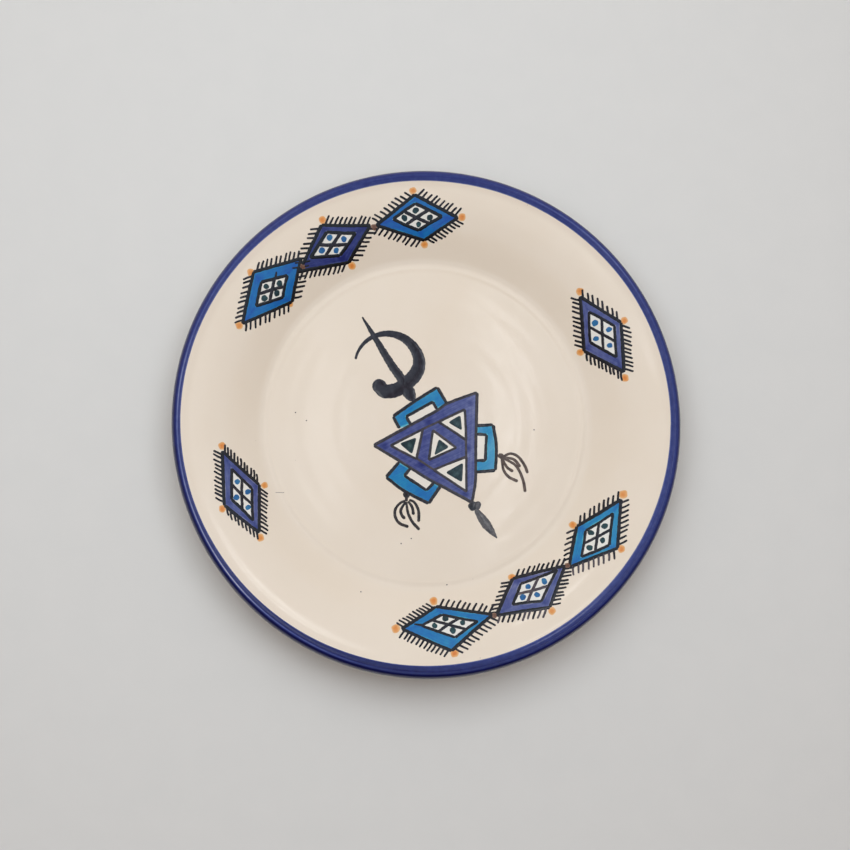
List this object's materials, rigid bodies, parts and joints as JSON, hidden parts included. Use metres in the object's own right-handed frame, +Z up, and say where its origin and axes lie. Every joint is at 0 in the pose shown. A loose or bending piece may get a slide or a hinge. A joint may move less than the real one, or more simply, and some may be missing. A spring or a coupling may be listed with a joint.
{
  "type": "ceramic plate",
  "caption": "Round hand-painted earthenware plate with a flat well, sloping flange, rounded cobalt lip and foot ring, for serving or display.",
  "frame": {"origin": "centre of the plate on the plane that its foot ring stands on", "axes": "+Z up along the plate's axis, out of the well; +X and +Y in the rest plane, with the brooch's pin pointing towards -X and +Y"},
  "size_m": [0.24, 0.24, 0.0262],
  "materials": {
    "bare_clay": "unglazed fired earthenware, matte and slightly gritty",
    "cream_glaze": "glossy warm cream glaze with a few pinholes and specks",
    "cobalt_band": "glossy brushed cobalt, thinner and lighter on the crest of the lip",
    "cobalt_enamel": "glossy violet cobalt, pooled darker at corners and stroke ends",
    "turquoise_enamel": "glossy turquoise brushwork with lighter streaks",
    "black_enamel": "glossy near-black outline, thin and brown-grey where the brush ran dry",
    "teal_enamel": "glossy dark teal with a lighter middle",
    "orange_enamel": "soft-edged orange dots"
  },
  "bodies": {
    "root": {"clay_body": "bare_clay", "face_glaze": "cream_glaze", "rim_band_glaze": "cobalt_band", "back_glaze": "cream_glaze", "foot_well_glaze": "cream_glaze", "lozenge_east": "cobalt_enamel", "lozenge_north": "turquoise_enamel", "lozenge_north_northwest": "cobalt_enamel", "lozenge_northwest": "turquoise_enamel", "lozenge_west": "cobalt_enamel", "lozenge_south": "turquoise_enamel", "lozenge_south_southeast": "cobalt_enamel", "lozenge_southeast": "turquoise_enamel", "fibula_ring_and_pin": "black_enamel", "fibula_lattice": "cobalt_enamel", "fibula_heart_1": "teal_enamel", "fibula_heart_2": "teal_enamel", "fibula_heart_3": "teal_enamel", "fibula_heart_4": "teal_enamel", "fibula_bracket_top": "turquoise_enamel", "fibula_bracket_right": "turquoise_enamel", "fibula_bracket_bottom": "turquoise_enamel", "fibula_tassel_bottom": "black_enamel", "fibula_tassel_right": "black_enamel", "fibula_drop": "black_enamel"}
  },
  "joints": []
}
